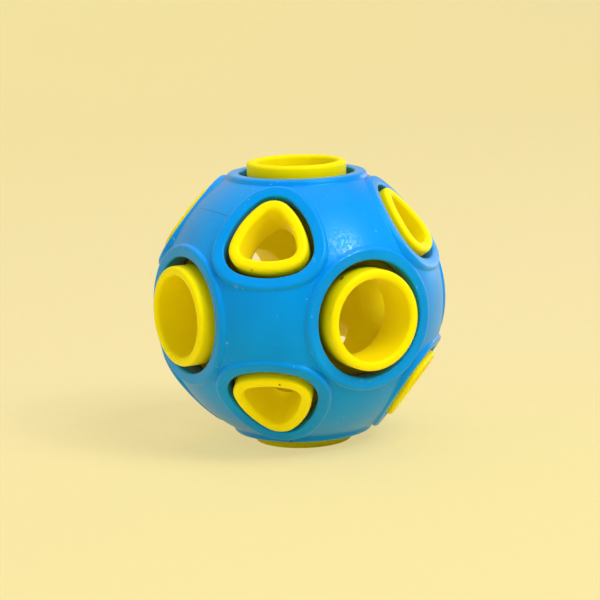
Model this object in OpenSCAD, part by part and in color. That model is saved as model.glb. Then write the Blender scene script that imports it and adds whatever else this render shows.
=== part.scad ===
// Treat dispensing ball: a blue cage ball with fourteen framed windows, and a
// loose yellow hollow ball inside it whose fourteen open tubes stand out
// through the windows. Six windows are round and sit on the X, Y and Z axes.
// Eight are rounded triangles that sit between them, corners to the axes.
// The centre of the ball is the origin, and the ball rests on its lower tube.

/* [Cage] */
// Radius of the cage over its curved panels
cage_r = 39.4; // [38.6:0.1:40.4]
// Thickness of the cage wall
cage_wall = 5.4; // [4.6:0.1:6]
// Radius of a round window
round_window_r = 15.8; // [15.2:0.1:16.2]
// Height of the flat band of a round window above the centre
round_face_h = 35.9; // [35.5:0.1:36.6]
// Width of the band round a round window
round_band_w = 3.4; // [2.6:0.1:3.8]
// Height of the flat band of a triangle window above the centre
tri_face_h = 37.4; // [37.2:0.1:38]
// Width of the band round a triangle window
tri_band_w = 3.2; // [2.4:0.1:3.6]
// Rounding of the outer edge of a round window's band
band_edge_r = 1.1; // [0.6:0.1:1.3]
// Rounding of the window edge of a round window's band
lip_edge_r = 0.5; // [0.2:0.1:0.7]

/* [Inner ball] */
// Radius of the round bores
round_bore_r = 11.05; // [10.4:0.1:11.6]
// Wall of the round tubes
round_tube_wall = 2.55; // [2.3:0.1:3]
// Height of the round tubes' rims above the centre
round_tip_h = 38.9; // [38.4:0.1:40]
// Reach of a triangle bore from its middle to a corner
tri_corner_reach = 8.45; // [8:0.1:8.8]
// Reach of a triangle bore from its middle to a side
tri_side_reach = 6.43; // [6:0.1:6.6]
// Rounding of the corners of a triangle bore
tri_corner_r = 2.85; // [2.4:0.1:3.2]
// Wall of the triangle tubes
tri_tube_wall = 3; // [2.6:0.1:3.2]
// Height of the triangle tubes' rims above the centre
tri_tip_h = 39.3; // [38.8:0.1:40.4]
// Rounding of the rims of the round tubes
rim_r = 1.1; // [0.6:0.1:1.1]
// Thickness of the inner ball's wall
core_wall = 6; // [4.6:0.1:7]

/* [Fits] */
// Clearance between the cage's inside and the inner ball
ball_gap = 0.3; // [0.2:0.1:0.8]
// Gap round a triangle tube in its window
tri_gap = 1.5; // [1.2:0.1:2]
// Depth of the lapped joint between two halves
lap_depth = 1.6; // [1:0.1:2.4]

/* [Hidden] */
// Named pieces, and the one to draw
// Piece to draw
// Inside of the cage
cage_in_r = cage_r - cage_wall;
// Outside of the inner ball, clear of the cage
core_r = cage_in_r - ball_gap;
// Cavity for the treats
cavity_r = core_r - core_wall;
// Outside of the round tubes
round_tube_r = round_bore_r + round_tube_wall;
// Offset of a triangle window from its bore
tri_window_t = tri_tube_wall + tri_gap;
// Distance of a triangle's corner centres from its middle
tri_q = tri_corner_reach - tri_corner_r;
// Side reach less corner reach
tri_k = tri_side_reach - tri_corner_reach;
// Distance of a side arc's centre behind the middle, so that it meets the corner arcs smoothly
tri_m = (0 - tri_k * tri_k - 2 * tri_k * tri_q) / (tri_q + 2 * tri_k);
// Radius of a side arc
tri_side_r = tri_side_reach + tri_m;
// Half the angle of a corner arc
tri_a = atan2(tri_m * sin(60), tri_q + tri_m * cos(60));
// Half the angle of a side arc
tri_b = 60 - tri_a;
// Steps from the middle of a corner arc to its end
corner_steps = 3;
// Steps from the middle of a side arc to its end
side_steps = 2;
// Tilt of a triangle window from the upright axis
tri_tilt = atan(sqrt(2));
// Share of a wall that lies under the lapped joint
lap_share = 0.5;
// Share of a hole's inner height at which its wall starts, before the cavity is cut
root_share = 0.94;
// Share of a wall's width at which the ball is cut away for it
mid_share = 0.4;
// Share of a hole's inner height at which its cut starts
cut_share = 0.9;
// Share of a wall's width for its narrower foot
foot_share = 0.5;
// Share of the cage that clears every tool
reach_share = 1.5;
// A length beyond the whole ball
reach = cage_r * reach_share;
// Radius of the lapped joint in the cage
cage_lap_r = cage_in_r + cage_wall * lap_share;
// Radius of the lapped joint in the inner ball
core_lap_r = cavity_r + core_wall * lap_share;
// Directions of the round windows, as turns of the upright axis
ROUND_TURNS = [[0, 0, 0], [180, 0, 0], [90, 0, 0], [270, 0, 0], [0, 90, 0], [0, 270, 0]];
// Smooth curves where a mesh is drawn
$fa = 3;
// Shortest piece of a curve where a mesh is drawn
$fs = cage_r / 100;

// Height at which a ring of radius r reaches a sphere of radius ball_r
function ring_h(ball_r, r) = sqrt(ball_r * ball_r - r * r);

// Puts a piece on every round window's axis
module at_rounds() {
  for (t = ROUND_TURNS)
    rotate(t)
      children();
}

// Puts a piece on every triangle window's axis, with a corner to the nearest pole
module at_triangles() {
  for (i = [0 : 3])
    rotate([0, 0, 45 + 90 * i]) {
      rotate([0, tri_tilt, 0])
        rotate([0, 0, 180])
          children();
      rotate([0, 180 - tri_tilt, 0])
        children();
    }
}

// Section of a wall from x0 to x1 with both upper edges rounded, on a narrower foot
module wall_section(x0, x1, base, heel, top, in_r, out_r) {
  union() {
    translate([x0, base])
      square([(x1 - x0) * foot_share, heel - base]);
    translate([x0, heel])
      square([x1 - x0, top - max(in_r, out_r) - heel]);
    translate([x0 + in_r, heel])
      square([x1 - x0 - in_r - out_r, top - heel]);
    translate([x0, heel])
      square([in_r, top - in_r - heel]);
    translate([x1 - out_r, heel])
      square([out_r, top - out_r - heel]);
    translate([x0 + in_r, top - in_r])
      circle(r = in_r);
    translate([x1 - out_r, top - out_r])
      circle(r = out_r);
  }
}

// Points of a triangle bore's outline, moved outwards by t
function tri_points(t) = [
  for (i = [0 : 2]) each [
    for (j = [0 - corner_steps : corner_steps])
      [
        tri_q * cos(120 * i) + (tri_corner_r + t) * cos(120 * i + tri_a * j / corner_steps),
        tri_q * sin(120 * i) + (tri_corner_r + t) * sin(120 * i + tri_a * j / corner_steps)
      ],
    for (j = [1 - side_steps : side_steps - 1])
      [
        0 - tri_m * cos(60 + 120 * i) + (tri_side_r + t) * cos(60 + 120 * i + tri_b * j / side_steps),
        0 - tri_m * sin(60 + 120 * i) + (tri_side_r + t) * sin(60 + 120 * i + tri_b * j / side_steps)
      ]
  ]
];

// Outline of a triangle bore, moved outwards by t
module tri_outline(t) {
  polygon(tri_points(t));
}

// Framed hole of a round window: a flat band that runs through the cage wall
module round_band() {
  rotate_extrude()
    wall_section(
      round_window_r,
      round_window_r + round_band_w,
      ring_h(cage_in_r, round_window_r) * root_share,
      ring_h(cage_lap_r, round_window_r + round_band_w),
      round_face_h,
      lip_edge_r,
      band_edge_r
    );
}

// Band that frames a triangle window, before its hole is cut
module tri_band() {
  translate([0, 0, ring_h(cage_lap_r, tri_corner_reach + tri_window_t + tri_band_w)])
    linear_extrude(height = tri_face_h - ring_h(cage_lap_r, tri_corner_reach + tri_window_t + tri_band_w))
      tri_outline(tri_window_t + tri_band_w);
}

// Tube on a round window's axis
module round_tube() {
  rotate_extrude()
    wall_section(
      round_bore_r,
      round_tube_r,
      ring_h(cavity_r, round_bore_r) * root_share,
      ring_h(core_lap_r, round_tube_r),
      round_tip_h,
      rim_r,
      rim_r
    );
}

// Tube on a triangle window's axis, before its bore is cut
module tri_tube() {
  translate([0, 0, ring_h(core_lap_r, tri_corner_reach + tri_tube_wall)])
    linear_extrude(height = tri_tip_h - ring_h(core_lap_r, tri_corner_reach + tri_tube_wall))
      tri_outline(tri_tube_wall);
}

// The whole cage before it is parted
module cage_body() {
  difference() {
    union() {
      difference() {
        sphere(r = cage_r);
        at_rounds()
          translate([0, 0, ring_h(cage_in_r, round_window_r) * cut_share])
            cylinder(r = round_window_r + round_band_w * mid_share, h = reach);
        at_triangles()
          translate([0, 0, tri_face_h - band_edge_r])
            linear_extrude(height = reach)
              tri_outline(tri_window_t + tri_band_w * mid_share);
      }
      at_rounds()
        round_band();
      at_triangles()
        tri_band();
    }
    sphere(r = cage_in_r);
    at_triangles()
      translate([0, 0, ring_h(cage_in_r, tri_corner_reach + tri_window_t) * cut_share])
        linear_extrude(height = reach)
          tri_outline(tri_window_t);
  }
}

// The whole inner ball before it is parted
module core_body() {
  difference() {
    union() {
      difference() {
        sphere(r = core_r);
        at_rounds()
          translate([0, 0, ring_h(cavity_r, round_bore_r) * cut_share])
            cylinder(r = round_bore_r + round_tube_wall * mid_share, h = reach);
      }
      at_rounds()
        round_tube();
      at_triangles()
        tri_tube();
    }
    sphere(r = cavity_r);
    at_triangles()
      translate([0, 0, ring_h(cavity_r, tri_corner_reach) * cut_share])
        linear_extrude(height = reach)
          tri_outline(0);
  }
}

// Front half of space, with the tongue of a lapped joint at radius lap_r
module front_half(lap_r) {
  rotate([0, 0, 0 - 45])
    union() {
      translate([0 - reach, 0 - reach, 0 - reach])
        cube([2 * reach, reach, 2 * reach]);
      intersection() {
        sphere(r = lap_r);
        translate([0 - reach, 0 - lap_depth, 0 - reach])
          cube([2 * reach, 2 * lap_depth, 2 * reach]);
      }
    }
}

// Front half of the blue cage
module outer_shell_front() {
  color([0, 0.62, 0.93])
    intersection() {
      cage_body();
      front_half(cage_lap_r);
    }
}

// Rear half of the blue cage
module outer_shell_rear() {
  color([0, 0.55, 0.86])
    difference() {
      cage_body();
      front_half(cage_lap_r);
    }
}

// Front half of the yellow inner ball
module inner_ball_front() {
  color([1, 0.93, 0.03])
    intersection() {
      core_body();
      front_half(core_lap_r);
    }
}

// Rear half of the yellow inner ball
module inner_ball_rear() {
  color([0.95, 0.86, 0.02])
    difference() {
      core_body();
      front_half(core_lap_r);
    }
}

outer_shell_front();
outer_shell_rear();
inner_ball_front();
inner_ball_rear();
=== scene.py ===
# %% [markdown]
# # Treat dispensing ball
# A blue cage with fourteen windows holds a loose yellow hollow ball, whose open
# tubes stand out through the windows. Both balls have the symmetry of a cube:
# six round windows on the axes and eight rounded triangles between them. Each
# window could be modelled on its own, but then no two would be quite alike. So
# one small patch of each ball is drawn, and turning it 24 ways gives the whole.
# The meshes take the CAD pieces' place in the picture and stay in their box.

# %% Load the frame
import bpy, bmesh, itertools, math
import numpy as np
from mathutils import Matrix, Vector


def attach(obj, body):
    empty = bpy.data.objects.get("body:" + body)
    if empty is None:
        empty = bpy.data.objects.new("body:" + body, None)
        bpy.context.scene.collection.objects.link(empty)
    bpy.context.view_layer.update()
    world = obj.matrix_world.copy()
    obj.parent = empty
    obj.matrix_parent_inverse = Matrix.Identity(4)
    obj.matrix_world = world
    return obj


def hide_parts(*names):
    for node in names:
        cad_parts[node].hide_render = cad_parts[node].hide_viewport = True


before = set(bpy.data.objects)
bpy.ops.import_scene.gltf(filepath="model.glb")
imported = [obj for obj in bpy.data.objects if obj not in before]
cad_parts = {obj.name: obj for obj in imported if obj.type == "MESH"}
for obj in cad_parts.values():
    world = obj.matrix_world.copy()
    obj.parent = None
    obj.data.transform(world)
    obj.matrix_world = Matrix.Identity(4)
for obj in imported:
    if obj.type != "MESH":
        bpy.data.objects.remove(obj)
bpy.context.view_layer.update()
print("CAD pieces:", sorted(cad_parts))

# %% [markdown]
# ## Sizes
# All sizes are in millimetres here and are turned into metres when a mesh is
# made. Heights are measured from the ball's centre. They are the sizes of the
# CAD source, but for three: now that the edges are rounded, the triangle tubes'
# rims look right 0.4 mm lower, and the bands of the triangle windows 0.1 mm
# higher and 0.3 mm wider.

# %% Sizes
MM = 0.001
CAGE_R = 39.4  # outside of the cage's panels
CAGE_IN_R = 34.0  # inside of the cage
CORE_R = 33.7  # outside of the inner ball
CAVITY_R = 27.7  # hollow for the treats
WINDOW_R = 15.8  # radius of a round window
BORE_R = 11.05  # radius of a round tube's bore
ROUND_WALL = 2.55  # wall of a round tube
ROUND_FACE = 35.9  # height of a round window's band
ROUND_TIP = 38.9  # height of a round tube's rim
ROUND_BAND = 3.4  # width of a round window's band
TRI_CORNER = 8.45  # reach of a triangle bore to its corners
TRI_SIDE = 6.43  # reach of a triangle bore to the middles of its sides
TRI_ROUND = 2.85  # rounding of its corners
TRI_WALL = 3.0  # wall of a triangle tube
TRI_GAP = 1.5  # gap between a triangle tube and its window
TRI_FACE = 37.5  # height of a triangle window's band
TRI_TIP = 38.9  # height of a triangle tube's rim
TRI_BAND = 3.5  # width of a triangle window's band
BAND_EDGE = 1.1  # rounding of a band's outer edge
LIP_EDGE = 0.5  # rounding of a band's edge at the window
RIM_EDGE = 1.1  # rounding of both edges of a tube's rim
WELD = 2e-6  # in metres: points closer than this become one
COLUMNS = 18
print("columns in one patch:", COLUMNS)

# %% [markdown]
# ## The rounded triangle
# A triangle window, its tube and its bore share one outline of six arcs that
# meet smoothly: three small ones at the corners and three large ones for the
# sides. A subdivided triangle would come close, but its walls would change in
# width when it is made larger. With arcs a wider outline is the same one moved
# outwards, and a point is found from the direction that its edge faces.

# %% Rounded-triangle outline
corner_out = TRI_CORNER - TRI_ROUND
change = TRI_SIDE - TRI_CORNER
# A side's arc is centred so far behind the middle that it meets the corner arcs smoothly
side_back = (-change * change - 2 * change * corner_out) / (corner_out + 2 * change)
side_r = TRI_SIDE + side_back
corner_half = math.atan2(side_back * math.sin(math.pi / 3), corner_out + side_back / 2)
CORNER = np.array([corner_out, 0.0])
SIDE = -side_back * np.array([0.5, math.sin(math.pi / 3)])

def facing(p):
    """Direction that the outline faces nearest to p, and how far outside it p lies.

    p is in the sector from a corner to the middle of the next side."""
    from_corner = p - CORNER
    angle = math.atan2(from_corner[1], from_corner[0])
    if angle <= corner_half:
        return angle, math.hypot(*from_corner) - TRI_ROUND
    from_side = p - SIDE
    return math.atan2(from_side[1], from_side[0]), math.hypot(*from_side) - side_r

def outline(angle, t):
    """Point of the outline moved outwards by t, where it faces angle."""
    along = np.array([math.cos(angle), math.sin(angle)])
    if angle <= corner_half:
        return CORNER + (TRI_ROUND + t) * along
    return SIDE + (side_r + t) * along

print("side arc radius %.2f mm" % side_r)
print("corner arc half angle %.1f degrees" % math.degrees(corner_half))

# %% [markdown]
# ## The patch
# The smallest part of the ball that repeats is a triangle on it. Its corners are
# A, the axis of a round window, B, the axis of a triangle window, and C, the
# middle of the panel between two round windows. A border from M, between the two
# windows' bands, to C splits it, so that each half has one window to follow.

# %% Corners and border of the patch
M_TILT = math.radians(29.9)  # from A towards B

def across(direction, axis):
    """Unit vector at a right angle to the axis, on the side of the direction."""
    flat = direction - axis * (axis @ direction)
    return flat / np.linalg.norm(flat)

A = np.array([0.0, 0.0, 1.0])
B = np.array([1.0, 1.0, 1.0]) / math.sqrt(3)
C = np.array([1.0, 0.0, 1.0]) / math.sqrt(2)
M = math.cos(M_TILT) * A + math.sin(M_TILT) * across(B, A)
TO_CORNER = across(A, B)
TO_SIDE = np.cross(TO_CORNER, B)
TO_SIDE = TO_SIDE * np.sign(TO_SIDE @ C)

def border_points(n):
    """n + 1 directions from M to C, spaced evenly as seen from A and B together.

    Seen from A the border turns through 45 degrees, and seen from B through 60."""
    share = np.linspace(0, 1, 2001)
    span = math.acos(M @ C)
    from_m = np.sin((1 - share) * span)[:, None]
    from_c = np.sin(share * span)[:, None]
    fine = (from_m * M + from_c * C) / math.sin(span)
    around_a = np.degrees(np.arctan2(fine[:, 1], fine[:, 0]))
    around_b = np.degrees(np.arctan2(fine @ TO_SIDE, fine @ TO_CORNER))
    progress = (45 - around_a) / 45 + around_b / 60
    even = np.linspace(progress[0], progress[-1], n + 1)
    return np.column_stack([np.interp(even, progress, fine[:, i]) for i in range(3)])

border = border_points(COLUMNS)
border /= np.linalg.norm(border, axis=1)[:, None]
print("border from M to C:", len(border), "points")

# %% [markdown]
# ## Profiles
# The raised band round a window has a rounded outer edge that runs softly into
# the panel, and a smaller rounding at the window. A tube has a round rim and a
# fillet at its foot. Booleans and bevels on a ball could give these too, but
# their edges come out uneven where a curve meets a curve, so the section is
# drawn instead. A profile is a list of (offset from the hole's edge, height)
# that runs from the border over the band or the tube, through the hole and back
# along the inside. far(t) is the distance from the hole's axis at offset t.

# %% Profile helpers
FOOT_SLOPE = 5.0  # fall of a band's side for each millimetre outwards

def ball_height(radius, distance):
    """Height of a ball's surface at a distance from an axis through its centre."""
    return math.sqrt(max(radius * radius - distance * distance, 0.0))

def smooth_max(a, b, width):
    """The greater of two heights, rounded where they differ by less than width."""
    mix = max(width - abs(a - b), 0.0) / width
    return max(a, b) + mix * mix * width / 4

def ease(x):
    """0 below 0, 1 above 1, smooth between."""
    x = min(max(x, 0.0), 1.0)
    return x * x * (3 - 2 * x)

def band_edge_drop(inside):
    """How far a band's face has fallen at this distance inside its outer edge."""
    if inside >= BAND_EDGE:
        return 0.0
    if inside >= 0:
        return BAND_EDGE - math.sqrt(BAND_EDGE ** 2 - (BAND_EDGE - inside) ** 2)
    return BAND_EDGE - FOOT_SLOPE * inside

print("a band falls %.2f mm at 0.2 mm from its edge" % band_edge_drop(0.2))

# %% Stretches of a profile
def arc(t0, h0, radius, start, end, n):
    """n points of an arc round (t0, h0), from one angle in degrees to another."""
    angles = np.radians(np.linspace(start, end, n))
    return [(t0 + radius * math.cos(a), h0 + radius * math.sin(a)) for a in angles]

def on_ball(radius, far, start, end, n):
    """n points on a ball's surface, from one offset to another."""
    return [(t, ball_height(radius, far(t))) for t in np.linspace(start, end, n)]

def on_wall(t, start, end, n):
    """n points straight along a wall at offset t, from one height to another."""
    return [(t, h) for h in np.linspace(start, end, n)]

print("a lip's rounding ends at offset %.2f" % arc(LIP_EDGE, 0, LIP_EDGE, 90, 180, n=6)[-1][0])

# %% Cage profile
# Places across a band, as distances outwards from its outer edge, closer where it bends more
BAND_PLACES = (0.3, 0.16, 0.05, -0.07, -0.2, -0.33, -0.5, -0.7, -0.95, -1.25, -1.7, -2.1, -2.5)
BLEND = 0.5  # height over which panel and band run together
SINK = 2.0  # how far the panel's surface dives under the band
SINK_START = 0.6  # where it starts, inside the band's edge
CAGE_ROUND = 0.4  # rounding of the window's edge inside the cage

def cage_profile(far, t_out, t_in, face, width):
    """t_out and t_in are the border's offsets on the outside and the inside of the cage."""
    rows = on_ball(CAGE_R, far, t_out, width + BAND_PLACES[0], n=9)[:-1]
    for place in (*BAND_PLACES, LIP_EDGE - width):
        t = width + place
        panel = ball_height(CAGE_R, far(t)) - SINK * ease(width - t - SINK_START)
        rows.append((t, smooth_max(panel, face - band_edge_drop(width - t), BLEND)))
    rows += arc(LIP_EDGE, face - LIP_EDGE, LIP_EDGE, 90, 180, n=6)[1:]
    foot = ball_height(CAGE_IN_R, far(0)) + CAGE_ROUND
    rows += on_wall(0.0, face - LIP_EDGE, foot, n=6)[1:]
    # One point in the middle of the inner rounding is enough, as it is hardly seen
    rows.append((CAGE_ROUND / 4, foot - 0.7 * CAGE_ROUND))
    rows += on_ball(CAGE_IN_R, far, CAGE_ROUND, t_in, n=6)
    return rows

print("places across a band:", len(BAND_PLACES) + 1)

# %% Tube profile
FILLET = 1.1  # fillet at a tube's foot
MOUTH = 0.6  # height of the rounding where a bore opens into the cavity
MOUTH_PLACES = ((0.08, 0.32), (0.3, MOUTH))  # offset, and fall from the bore's wall
MOUTH_END = 0.7  # offset at which the rounding ends

def tube_profile(far, t_out, t_in, tip, wall):
    """t_out and t_in are the border's offsets on the outside and the inside of the inner ball."""
    root = ball_height(CORE_R, far(wall + FILLET))
    rows = on_ball(CORE_R, far, t_out, wall + FILLET, n=6)
    rows += arc(wall + FILLET, root + FILLET, FILLET, 260, 180, n=5)
    rows += on_wall(wall, root + FILLET, tip - RIM_EDGE, n=5)[1:]
    rows += arc(wall - RIM_EDGE, tip - RIM_EDGE, RIM_EDGE, 0, 90, n=8)[1:]
    rows += arc(RIM_EDGE, tip - RIM_EDGE, RIM_EDGE, 90, 180, n=8)
    mouth = ball_height(CAVITY_R, far(0)) + MOUTH
    rows += on_wall(0.0, tip - RIM_EDGE, mouth, n=8)[1:]
    rows += [(t, mouth - fall) for t, fall in MOUTH_PLACES]
    rows += on_ball(CAVITY_R, far, MOUTH_END, t_in, n=6)
    return rows

print("a tube's rim is flat over %.2f mm" % (ROUND_WALL - 2 * RIM_EDGE))

# %% [markdown]
# ## One patch
# For each border point the profile is laid out in the plane that faces it, once
# round axis A and once round axis B. The mirror image across the panel's middle
# doubles the patch, so that turning alone, with no mirroring, gives the rest:
# a mirrored copy would turn its faces inside out. Each point also gets `gap`: 1
# on the walls that face each other between a tube and its window. The materials
# use it to paint shade there.

# %% Lay out one profile
def round_column(direction, out_r, in_r, edge, profile, *sizes):
    """Points of a profile round axis A, in the plane that holds the direction."""
    flat = np.array([direction[0], direction[1], 0.0])
    reach = np.linalg.norm(flat)
    rows = profile(lambda t: edge + t, out_r * reach - edge, in_r * reach - edge, *sizes)
    return [(edge + t) * flat / reach + h * A for t, h in rows]

def triangle_column(direction, out_r, in_r, extra, profile, *sizes):
    """Points of a profile round axis B, at a right angle to the outline."""
    flat = np.array([direction @ TO_CORNER, direction @ TO_SIDE])
    angle, t_out = facing(out_r * flat)
    t_in = facing(in_r * flat)[1]

    def far(t):
        return math.hypot(*outline(angle, extra + t))

    rows = profile(far, t_out - extra, t_in - extra, *sizes)
    places = [(outline(angle, extra + t), h) for t, h in rows]
    return [p[0] * TO_CORNER + p[1] * TO_SIDE + h * B for p, h in places]

column = round_column(border[0], CAGE_R, CAGE_IN_R, WINDOW_R, cage_profile, ROUND_FACE, ROUND_BAND)
print("points in a cage profile:", len(column))

# %% Build one patch
def weld_outwards(mesh):
    """Joins points that meet, and turns the faces so that the ball's outside looks outwards."""
    bm = bmesh.new()
    bm.from_mesh(mesh)
    bmesh.ops.remove_doubles(bm, verts=bm.verts, dist=WELD)
    bmesh.ops.recalc_face_normals(bm, faces=bm.faces)
    outer = max(bm.faces, key=lambda f: f.calc_center_median().length)
    if outer.normal.dot(outer.calc_center_median()) < 0:
        bmesh.ops.reverse_faces(bm, faces=bm.faces)
    bm.to_mesh(mesh)
    bm.free()

def grid_faces(first, columns, rows):
    """Squares between neighbouring columns of points, which start at number first."""
    corners = [first + c * rows + r for c in range(columns - 1) for r in range(rows - 1)]
    return [(a, a + 1, a + rows + 1, a + rows) for a in corners]

def patch_mesh(name, out_r, in_r, round_args, triangle_args, gap_first):
    """A patch and its mirror image. gap_first says whether the gap comes before the profile's top."""
    points, faces, gaps = [], [], []
    for make, args, axis in ((round_column, round_args, A), (triangle_column, triangle_args, B)):
        grid = np.array([make(d, out_r, in_r, *args) for d in border])
        grid[:, 0] = border * out_r
        grid[:, -1] = border * in_r
        rim = int((grid[0] @ axis).argmax())
        in_gap = [float((row < rim) == gap_first) for row in range(grid.shape[1])]
        for mirror in (1, -1):
            faces += grid_faces(len(points), *grid.shape[:2])
            points += [tuple(p * (MM, mirror * MM, MM)) for p in grid.reshape(-1, 3)]
            gaps += in_gap * len(border)
    mesh = bpy.data.meshes.new(name)
    mesh.from_pydata(points, [], faces)
    mesh.attributes.new("gap", "FLOAT", "POINT").data.foreach_set("value", gaps)
    weld_outwards(mesh)
    ob = bpy.data.objects.new(name, mesh)
    bpy.context.scene.collection.objects.link(ob)
    return ob

cage_patch = patch_mesh("cage_patch", CAGE_R, CAGE_IN_R,
                        (WINDOW_R, cage_profile, ROUND_FACE, ROUND_BAND),
                        (TRI_WALL + TRI_GAP, cage_profile, TRI_FACE, TRI_BAND), False)
core_patch = patch_mesh("core_patch", CORE_R, CAVITY_R,
                        (BORE_R, tube_profile, ROUND_TIP, ROUND_WALL),
                        (0.0, tube_profile, TRI_TIP, TRI_WALL), True)
print("faces of the cage's patch:", len(cage_patch.data.polygons))
print("faces of the inner ball's patch:", len(core_patch.data.polygons))

# %% [markdown]
# ## Twelve turns for each half
# A closed hollow ball is moulded in two halves that are bonded. Of the 24 turns
# that bring a cube back to itself, twelve put the patch in the front half and
# twelve in the rear half. The halves part on the upright plane between +X and
# -Y, which runs along the patches' edges, so no patch is cut.

# %% Turns of the cube
def cube_turns():
    """The 24 turns, as matrices: any axis for X, any other for Y, and Z from both."""
    found = []
    for i, j in itertools.permutations(range(3), 2):
        for i_sign, j_sign in itertools.product((1, -1), repeat=2):
            x = np.zeros(3)
            y = np.zeros(3)
            x[i] = i_sign
            y[j] = j_sign
            found.append(np.column_stack([x, y, np.cross(x, y)]))
    return found

# The patch and its mirror image lie on either side of the plane y = 0
patch_middle = (A + B + C) / 3 * (1, 0, 1)
turns = {"front": [], "rear": []}
for matrix in cube_turns():
    turned = matrix @ patch_middle
    turns["front" if turned[0] + turned[1] < 0 else "rear"].append(matrix)
print("turns:", {side: len(found) for side, found in turns.items()})

# %% [markdown]
# ## Geometry Nodes: copy the patch to every turn
# A loop could copy the mesh twelve times, but a node tree does it in one step
# and keeps the patch as the only drawing. The tree takes points that carry a
# turn each, puts the patch on them, makes the copies real, welds their shared
# edges and gives them their material.

# %% Node tree that turns the patch
def turning_tree():
    """The tree, and the identifiers of the inputs that a modifier sets."""
    tree = bpy.data.node_groups.new("turn_patch", "GeometryNodeTree")
    face = tree.interface
    face.new_socket("Turns", in_out="INPUT", socket_type="NodeSocketGeometry")
    patch = face.new_socket("Patch", in_out="INPUT", socket_type="NodeSocketObject")
    weld = face.new_socket("Weld distance", in_out="INPUT", socket_type="NodeSocketFloat")
    skin = face.new_socket("Material", in_out="INPUT", socket_type="NodeSocketMaterial")
    face.new_socket("Ball half", in_out="OUTPUT", socket_type="NodeSocketGeometry")
    start = tree.nodes.new("NodeGroupInput")
    end = tree.nodes.new("NodeGroupOutput")
    info = tree.nodes.new("GeometryNodeObjectInfo")
    turn = tree.nodes.new("GeometryNodeInputNamedAttribute")
    place = tree.nodes.new("GeometryNodeInstanceOnPoints")
    real = tree.nodes.new("GeometryNodeRealizeInstances")
    merge = tree.nodes.new("GeometryNodeMergeByDistance")
    smooth = tree.nodes.new("GeometryNodeSetShadeSmooth")
    paint = tree.nodes.new("GeometryNodeSetMaterial")
    turn.data_type = "QUATERNION"
    turn.inputs["Name"].default_value = "turn"
    for source, target in (
        (start.outputs["Patch"], info.inputs["Object"]),
        (start.outputs["Turns"], place.inputs["Points"]),
        (info.outputs["Geometry"], place.inputs["Instance"]),
        (turn.outputs["Attribute"], place.inputs["Rotation"]),
        (place.outputs["Instances"], real.inputs["Geometry"]),
        (real.outputs["Geometry"], merge.inputs["Geometry"]),
        (start.outputs["Weld distance"], merge.inputs["Distance"]),
        (merge.outputs["Geometry"], smooth.inputs["Geometry"]),
        (smooth.outputs["Geometry"], paint.inputs["Geometry"]),
        (start.outputs["Material"], paint.inputs["Material"]),
        (paint.outputs["Geometry"], end.inputs[0]),
    ):
        tree.links.new(source, target)
    return tree, {"patch": patch.identifier, "weld": weld.identifier, "skin": skin.identifier}

tree, sockets = turning_tree()
print("tree nodes:", len(tree.nodes))

# %% [markdown]
# ## Closed halves
# Twelve copies leave a half ball that is open where it meets the other half.
# That flat ring is filled, so that each half is a solid of its own, as the
# moulding is, and its edge is kept sharp.

# %% Turn a patch into a closed half
def turned_mesh(name, patch, side, material):
    """Mesh of the patch at the twelve turns of one side."""
    points = bpy.data.meshes.new(name + "_turns")
    points.from_pydata([(0, 0, 0)] * len(turns[side]), [], [])
    turn = points.attributes.new("turn", "QUATERNION", "POINT")
    for item, matrix in zip(turn.data, turns[side]):
        item.value = Matrix(matrix.tolist()).to_quaternion()
    carrier = bpy.data.objects.new(name + "_turns", points)
    bpy.context.scene.collection.objects.link(carrier)
    mod = carrier.modifiers.new("turns", "NODES")
    mod.node_group = tree
    mod[sockets["patch"]] = patch
    mod[sockets["weld"]] = WELD
    mod[sockets["skin"]] = material
    ready = carrier.evaluated_get(bpy.context.evaluated_depsgraph_get())
    mesh = bpy.data.meshes.new_from_object(ready)
    carrier.modifiers.clear()
    bpy.data.objects.remove(carrier)
    return mesh

def ball_half(name, patch, side, material):
    """One half of a ball, with its parting face filled."""
    mesh = turned_mesh(name, patch, side, material)
    bm = bmesh.new()
    bm.from_mesh(mesh)
    rim = [e for e in bm.edges if e.is_boundary]
    for e in rim:
        e.smooth = False
    bmesh.ops.holes_fill(bm, edges=rim, sides=0)
    bmesh.ops.recalc_face_normals(bm, faces=bm.faces)
    open_edges = sum(not e.is_manifold for e in bm.edges)
    bm.to_mesh(mesh)
    bm.free()
    mesh.name = name
    ob = bpy.data.objects.new(name, mesh)
    bpy.context.scene.collection.objects.link(ob)
    print("%s: %d faces, %d open edges" % (name, len(mesh.polygons), open_edges))
    return ob

# %% [markdown]
# ## Shader maths
# Both finishes are sums of noise and a few placed marks. Nodes could be added
# and linked one by one, but that hides the sums. A small class wraps a socket
# instead, so that they read as plain sums.

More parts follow.
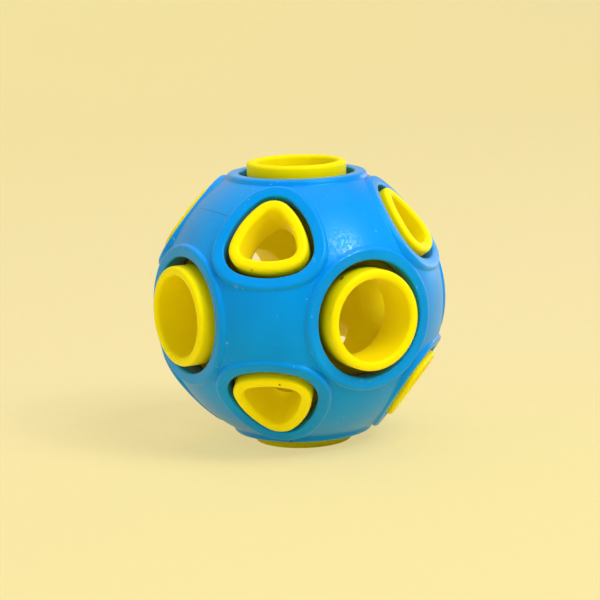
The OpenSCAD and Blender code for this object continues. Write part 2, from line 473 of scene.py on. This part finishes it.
# %% Socket arithmetic
class Field:
    """A socket of a shader tree that Python's operators work on."""

    def __init__(self, tree, socket):
        self.tree = tree
        self.socket = socket

    def node(self, kind, out=0, settings=None, **inputs):
        """Adds a node. Its inputs go by name, or by number as i0, i1 and so on."""
        made = self.tree.nodes.new(kind)
        for key, value in (settings or {}).items():
            setattr(made, key, value)
        for key, value in inputs.items():
            by_number = key[0] == "i" and key[1:].isdigit()
            slot = made.inputs[int(key[1:]) if by_number else key.replace("_", " ")]
            if isinstance(value, Field):
                self.tree.links.new(value.socket, slot)
            else:
                slot.default_value = value
        return Field(self.tree, made.outputs[out])

    def maths(self, operation, a, b=0.0, clamp=False):
        settings = {"operation": operation, "use_clamp": clamp}
        return self.node("ShaderNodeMath", settings=settings, i0=a, i1=b)

    def __add__(self, other):
        return self.maths("ADD", self, other)

    def __radd__(self, other):
        return self.maths("ADD", other, self)

    def __sub__(self, other):
        return self.maths("SUBTRACT", self, other)

    def __rsub__(self, other):
        return self.maths("SUBTRACT", other, self)

    def __mul__(self, other):
        return self.maths("MULTIPLY", self, other)

    def clamp(self):
        """Kept between 0 and 1."""
        return self.maths("ADD", self, 0.0, clamp=True)

    def between(self, low, high):
        """0 below low, 1 above high, smooth between."""
        settings = {"interpolation_type": "SMOOTHSTEP"}
        return self.node("ShaderNodeMapRange", settings=settings, i0=self, i1=low, i2=high)

    def noise(self, scale, detail=3.0, roughness=0.5):
        """Noise over a place, with scale features to the metre."""
        return self.node("ShaderNodeTexNoise", Vector=self, Scale=scale, Detail=detail, Roughness=roughness)

    def blend(self, colour_a, colour_b):
        """The first colour where the field is 0, the second where it is 1."""
        settings = {"data_type": "RGBA"}
        return self.node("ShaderNodeMix", out=2, settings=settings, i0=self, i6=colour_a, i7=colour_b)

    def into(self, node, name):
        """Feeds the named input of a node."""
        self.tree.links.new(self.socket, node.inputs[name])

print("methods of a field:", [name for name in vars(Field) if not name.startswith("_")])

# %% Start a material
def linear(r, g, b):
    """sRGB levels from 0 to 255 as linear light."""
    levels = []
    for level in (r, g, b):
        share = level / 255
        levels.append(share / 12.92 if level <= 10 else ((share + 0.055) / 1.055) ** 2.4)
    return (*levels, 1.0)

def new_material(name):
    """A material, its shader and the place on the object as a field, in metres."""
    mat = bpy.data.materials.new(name)
    mat.use_nodes = True
    shader = mat.node_tree.nodes["Principled BSDF"]
    place = mat.node_tree.nodes.new("ShaderNodeTexCoord")
    return mat, shader, Field(mat.node_tree, place.outputs["Object"])

def bump_into(shader, height, distance):
    """Feeds the shader's normal with a bump that stands distance millimetres high at 1."""
    bump = height.node("ShaderNodeBump", Height=height, Strength=1.0, Distance=distance * MM)
    bump.into(shader, "Normal")

print("middle grey is %.3f in linear light" % linear(128, 128, 128)[0])

# %% Masks in millimetres
SPOT_CORE = 0.4  # share of a spot's size within which it is full

def distance_from(place, point=(0.0, 0.0, 0.0)):
    """Distance in metres from a point given in millimetres."""
    settings = {"operation": "DISTANCE"}
    point = tuple(c * MM for c in point)
    return place.node("ShaderNodeVectorMath", out=1, settings=settings, i0=place, i1=point)

def spot(place, point, size):
    """1 near a point given in millimetres, 0 from size millimetres away."""
    return 1.0 - distance_from(place, point).between(size * MM * SPOT_CORE, size * MM)

def seam_line(place, axes, width):
    """1 on the plane where the two named coordinates cancel, 0 from width millimetres away."""
    parts = place.node("ShaderNodeSeparateXYZ", Vector=place).socket.node.outputs
    x, y = (Field(place.tree, parts[axis]) for axis in axes)
    return 1.0 - place.maths("ABSOLUTE", x + y).between(0.0, width * MM)

def gap_shade(place, deep, clear):
    """Painted shade between a tube and its window, by the distance from the ball's centre.

    It is 1 from deep millimetres inwards and 0 from clear millimetres outwards."""
    walls = place.node("ShaderNodeAttribute", out=2, settings={"attribute_name": "gap"})
    return walls * (1.0 - distance_from(place).between(deep * MM, clear * MM))

print("masks ready: spot, seam line, gap shade")

# %% [markdown]
# ## Blue cage finish
# The cage is a satin plastic moulding. A single blue would look like paint, so
# slow noise shifts it a little, a finer one makes the faint orange peel of a
# moulded skin, sparse specks are dust, and thin stretched noise makes rubs. The
# walls in the gaps beside the tubes are painted greyer, more the deeper they
# lie, as painted shade. Marks that the photo shows are placed one by one: a
# white speck, a moulding line across the upper left panel, a scuff under the
# upper triangle and a notch at the lowest band.

# %% Blue: noise over the surface
blue, shader, place = new_material("blue_moulding")
cloud = place.noise(45.0, 3.0)
peel = place.noise(620.0, 3.0, 0.6)
grain = place.noise(2600.0, 2.0)
dust = place.noise(900.0, 1.0).between(0.745, 0.79)
stretch = {"Scale": (260.0, 900.0, 120.0), "Rotation": (0.5, 0.3, 0.9)}
stretched = place.node("ShaderNodeMapping", Vector=place, **stretch)
rubs = stretched.noise(1.0, 4.0, 0.6).between(0.60, 0.78)
# Painted shade: the window walls in the gaps beside the tubes are greyed, more the deeper they lie
painted_gap_shade = gap_shade(place, 35.5, 39.3)
print("nodes so far:", len(blue.node_tree.nodes))

# %% Blue: marks
SPECK_AT = (-34.1, -19.1, -4.8)
LINE_AT = (-29.0, -2.0, 28.0)
NOTCH_AT = (-12.6, -14.3, -35.6)
SCUFF_AT = (-31.4, -20.8, 10.6)
SCUFF_END_AT = (-30.4, -22.4, 10.2)
GLINT_AT = (-5.9, -33.7, 19.4)
specks = dust + spot(place, SPECK_AT, 0.5)
moulding_line = seam_line(place, (0, 2), 0.16) * spot(place, LINE_AT, 11.0)
notch = spot(place, NOTCH_AT, 0.5)
scuff = (spot(place, SCUFF_AT, 1.2) + spot(place, SCUFF_END_AT, 0.9)).clamp()
scuff = scuff * place.noise(1400.0, 2.0).between(0.44, 0.60)
glitter = place.noise(1000.0, 2.0).between(0.44, 0.60) * spot(place, GLINT_AT, 7.0)
print("nodes with the marks:", len(blue.node_tree.nodes))

# %% Blue: colour
colour = cloud.between(0.3, 0.7).blend(linear(0, 146, 240), linear(0, 157, 252))
for mask, tint in (
    (specks.clamp() * 0.4, linear(150, 205, 240)),
    (moulding_line * 0.6, linear(0, 84, 160)),
    # painted shade in the gaps beside the tubes
    (painted_gap_shade * 0.7, linear(126, 136, 166)),
    (notch, linear(20, 50, 70)),
    (scuff * 0.55, linear(150, 185, 205)),
):
    colour = mask.blend(colour, tint)
colour.into(shader, "Base Color")
print("nodes with the colour:", len(blue.node_tree.nodes))

# %% [markdown]
# The moulding's shine is bluish where it faces the eye and pale only at its
# edges. So the mirror light is tinted, which keeps the blue deep. The lamp's
# glint is broken up into small flecks. A texture of flecks would stay when the
# light moves, so they are in a clear coat, which shows only where a lamp is
# mirrored. It is speckled at that place and next to nothing elsewhere.

# %% Blue: shine and relief
FLECK_COAT = 0.4  # weight of the coat in a fleck
THIN_COAT = 0.02  # weight of the coat elsewhere
shader.inputs["Specular IOR Level"].default_value = 0.5
shader.inputs["Specular Tint"].default_value = (0.12, 0.62, 1.0, 1.0)
rough = 0.26 + cloud * 0.10 + peel * 0.08 + rubs * 0.12 + specks * 0.15 + painted_gap_shade * 0.3
rough.into(shader, "Roughness")
coat = glitter * FLECK_COAT + THIN_COAT
coat.into(shader, "Coat Weight")
shader.inputs["Coat Roughness"].default_value = 0.17
relief = grain * 0.25 + peel * 0.5 + cloud * 1.2
relief = relief - moulding_line * 2.5 - rubs * 0.3 - notch * 6.0 - scuff * 1.5
bump_into(shader, relief, 0.05)
print("blue nodes:", len(blue.node_tree.nodes))

# %% [markdown]
# ## Yellow inner ball finish
# The inner ball is a softer rubber: rougher, with a faint cloudiness, a few dark
# nicks, and a fine line where its halves meet. Its mirror light is weak and
# yellow, or the tubes would turn pale. Three marks of the photo are given: a
# nick beside the rim of the front tube, and a dot on the rim of each of the
# two front triangle tubes.

# %% Yellow: noise and marks
yellow, shader, place = new_material("yellow_rubber")
ROUND_NICK_AT = (-28.2, -23.1, 14.5)
UPPER_DOT_AT = (-7.3, -33.8, 11.45)
LOWER_DOT_AT = (-23.5, -27.8, -15.9)
cloud = place.noise(60.0, 3.0)
grain = place.noise(3200.0, 2.0)
nicks = place.noise(420.0, 2.0).between(0.76, 0.80)
seam = seam_line(place, (0, 1), 0.10)
# Painted shade: the tubes' walls in the gaps beside the windows are darkened, more the deeper they lie
painted_gap_shade = gap_shade(place, 34.3, 37.6)
marks = spot(place, ROUND_NICK_AT, 0.6) * 0.6 + spot(place, UPPER_DOT_AT, 0.8)
marks = (marks + spot(place, LOWER_DOT_AT, 0.45)).clamp()
print("nodes so far:", len(yellow.node_tree.nodes))

# %% Yellow: colour, shine and relief
colour = cloud.between(0.3, 0.7).blend(linear(255, 236, 0), linear(255, 240, 2))
for mask, tint in (
    (nicks * 0.3, linear(190, 150, 10)),
    (seam * 0.25, linear(215, 180, 0)),
    # painted shade in the gaps beside the windows
    (painted_gap_shade * 0.75, linear(96, 76, 10)),
    (marks * 0.85, linear(60, 56, 16)),
):
    colour = mask.blend(colour, tint)
colour.into(shader, "Base Color")
shader.inputs["Specular IOR Level"].default_value = 0.25
shader.inputs["Specular Tint"].default_value = (1.0, 0.9, 0.15, 1.0)
rough = 0.48 + cloud * 0.10 + nicks * 0.15 + painted_gap_shade * 0.2
rough.into(shader, "Roughness")
relief = grain * 0.4 + cloud * 1.0 - nicks * 1.0 - seam * 1.0 - marks * 4.0
bump_into(shader, relief, 0.04)
print("yellow nodes:", len(yellow.node_tree.nodes))

# %% [markdown]
# ## The four pieces
# Each half is made from its ball's patch, takes its CAD piece's place and moves
# with its body, so that the cage can turn round the inner ball. The patches
# themselves have done their work and are removed.

# %% Make the four halves
for piece, patch, side, mat, body, slot in (
    ("outer_shell_front", cage_patch, "front", blue, "outer_shell", "shell"),
    ("outer_shell_rear", cage_patch, "rear", blue, "outer_shell", "shell"),
    ("inner_ball_front", core_patch, "front", yellow, "inner_ball", "inner"),
    ("inner_ball_rear", core_patch, "rear", yellow, "inner_ball", "inner"),
):
    ob = ball_half(piece + "_skin", patch, side, mat)
    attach(ob, body)
    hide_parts(piece)
for patch in (cage_patch, core_patch):
    bpy.data.objects.remove(patch)

# %% [markdown]
# ## Stage
# A floor with a wall behind it would show an edge. A plain sweep bends from one
# into the other, in a pale tint of the photo's yellow. Most of what the camera
# sees of it is an even tone, which leaves a faint shadow and puts no light on
# the ball.

# %% Shape of the sweep
def sweep():
    """Floor, bend and backdrop as one strip, with sizes in metres."""
    floor_z = -ROUND_TIP * MM
    front, back, wide = -2.2, 1.3, 3.0
    bend, high = 0.6, 2.6
    line = [(front, floor_z), (back - bend, floor_z)]
    for a in np.radians(np.linspace(6, 90, 15)):
        line.append((back - bend + bend * math.sin(a), floor_z + bend * (1 - math.cos(a))))
    line.append((back, floor_z + high))
    points = [(x, y, z) for y, z in line for x in (-wide, wide)]
    faces = [(2 * i, 2 * i + 1, 2 * i + 3, 2 * i + 2) for i in range(len(line) - 1)]
    mesh = bpy.data.meshes.new("sweep")
    mesh.from_pydata(points, [], faces)
    for p in mesh.polygons:
        p.use_smooth = True
    ob = bpy.data.objects.new("sweep", mesh)
    bpy.context.scene.collection.objects.link(ob)
    return ob

stage = sweep()
print("sweep faces:", len(stage.data.polygons))

# %% Paper of the sweep
EVEN_SHARE = 0.7  # share of the even tone in what the camera sees
EVEN_TONE = 0.95  # strength of the even tone
paper, shader, place = new_material("sweep_paper")
tone = place.noise(1.2, 2.0).between(0.35, 0.65)
colour = tone.blend(linear(250, 233, 176), linear(252, 236, 168))
colour.into(shader, "Base Color")
shader.inputs["Roughness"].default_value = 0.9
shader.inputs["Specular IOR Level"].default_value = 0.1
bump_into(shader, place.noise(300.0, 3.0), 0.2)
seen = place.node("ShaderNodeLightPath", out="Is Camera Ray")
rays = seen.socket.node.outputs
for ray in ("Is Glossy Ray", "Is Transmission Ray"):
    seen = seen + Field(place.tree, rays[ray])
lit = Field(place.tree, shader.outputs[0])
even = place.node("ShaderNodeEmission", Color=colour, Strength=EVEN_TONE)
softened = place.node("ShaderNodeMixShader", i0=seen * EVEN_SHARE, i1=lit, i2=even)
softened.into(place.tree.nodes["Material Output"], "Surface")
stage.data.materials.append(paper)
print("paper nodes:", len(paper.node_tree.nodes))

# %% [markdown]
# ## Camera
# A camera placed by eye is soon a few degrees off, so this one was fitted to the
# outlines of the windows in the photo: a long lens about 18 ball radii away, a
# little above the ball and to the left of its front, and slightly rolled.

# %% Camera
AZIMUTH = math.radians(-30.8)
ELEVATION = math.radians(10.4)
ROLL = math.radians(-1.56)
AWAY = 0.72  # metres from the ball's centre
FOCAL_PIXELS = 2610  # focal length in the photo's pixels
PHOTO_PIXELS = 600  # width of the photo
SENSOR = 36.0  # width of the sensor in millimetres
ahead = np.array([math.sin(AZIMUTH), -math.cos(AZIMUTH), 0.0])
towards = math.cos(ELEVATION) * ahead + np.array([0.0, 0.0, math.sin(ELEVATION)])
right = np.array([math.cos(AZIMUTH), math.sin(AZIMUTH), 0.0])
up = np.cross(right, -towards)
camera_x = math.cos(ROLL) * right + math.sin(ROLL) * up
camera_y = -math.sin(ROLL) * right + math.cos(ROLL) * up
data = bpy.data.cameras.new("camera")
data.sensor_width = SENSOR
data.lens = FOCAL_PIXELS * SENSOR / PHOTO_PIXELS
camera = bpy.data.objects.new("camera", data)
bpy.context.scene.collection.objects.link(camera)
camera_turn = Matrix(np.column_stack([camera_x, camera_y, towards]).tolist()).to_4x4()
camera.matrix_world = Matrix.Translation((towards * AWAY).tolist()) @ camera_turn
bpy.context.scene.camera = camera
print("lens %.1f mm" % data.lens)

# %% [markdown]
# ## Light
# The photo's light is soft and comes mostly from the upper right, as from one
# large lamp. A small one beside it makes the glint, and the others fill the
# left, the top and the far edge. They are placed by the camera's own right and
# front, because that is how the photo shows where its light comes from.

# %% Lights
ROOM_LIGHT = 0.28  # strength of the even light from all round

def softbox(name, side, near, high, size, watts):
    """A round lamp, in metres to the camera's right, towards it and up, aimed at the ball."""
    level = np.array([towards[0], towards[1], 0.0])
    at = side * right + near * level + np.array([0.0, 0.0, high])
    lamp = bpy.data.lights.new(name, "AREA")
    lamp.shape = "DISK"
    lamp.size = size
    lamp.energy = watts
    ob = bpy.data.objects.new(name, lamp)
    bpy.context.scene.collection.objects.link(ob)
    ob.location = at.tolist()
    ob.rotation_euler = Vector((-at).tolist()).to_track_quat("-Z", "Y").to_euler()

softbox("key", 0.80, 0.60, 1.25, 1.0, 15.5)
softbox("glint", 0.88, 0.66, 1.10, 0.16, 2.6)
softbox("fill", -1.1, 1.1, 0.5, 2.6, 9.0)
softbox("top", 0.0, -0.3, 1.7, 1.6, 5.0)
softbox("rim", 1.3, -1.6, 0.0, 0.9, 6.5)
world = bpy.data.worlds.new("soft_room")
world.use_nodes = True
room = world.node_tree.nodes["Background"]
room.inputs["Color"].default_value = (1, 1, 1, 1)
room.inputs["Strength"].default_value = ROOM_LIGHT
bpy.context.scene.world = world
bpy.context.scene.view_settings.view_transform = "Standard"
